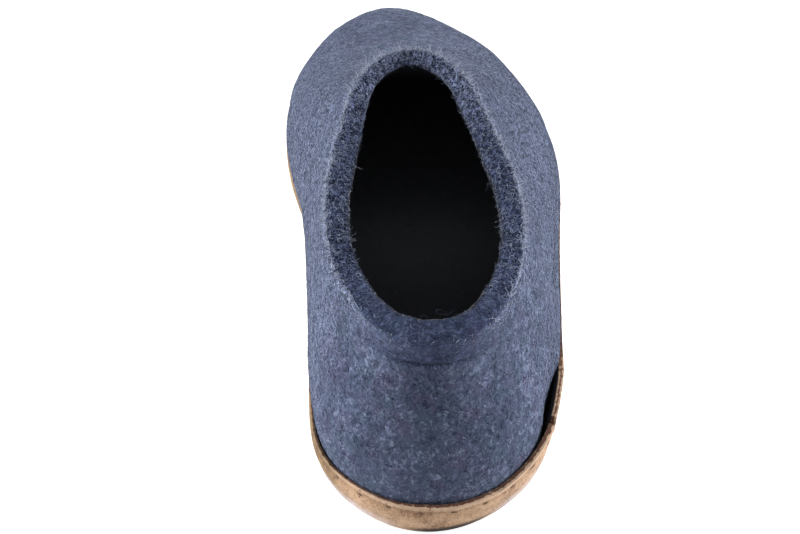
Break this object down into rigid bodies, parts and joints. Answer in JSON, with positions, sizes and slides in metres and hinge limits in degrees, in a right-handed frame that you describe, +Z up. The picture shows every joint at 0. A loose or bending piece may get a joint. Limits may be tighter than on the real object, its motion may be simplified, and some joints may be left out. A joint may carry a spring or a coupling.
{
  "type": "felt slipper",
  "caption": "Low felted slipper for the right foot, with a seamless hollow upper open at the collar, a felt insole and a leather cup sole turned up round the felt",
  "frame": {"origin": "on the floor, under the middle of the slipper's box", "axes": "+Y from heel to toe, +X to the outer side of the foot, +Z up from the floor"},
  "size_m": [0.112, 0.2714, 0.0845],
  "materials": {
    "upper_felt": "thick felted wool, denim blue melange",
    "insole_felt": "dense felt, charcoal",
    "sole_leather": "suede side out, undyed tan"
  },
  "bodies": {
    "root": {"upper": "upper_felt", "insole": "insole_felt", "sole": "sole_leather"}
  },
  "joints": []
}
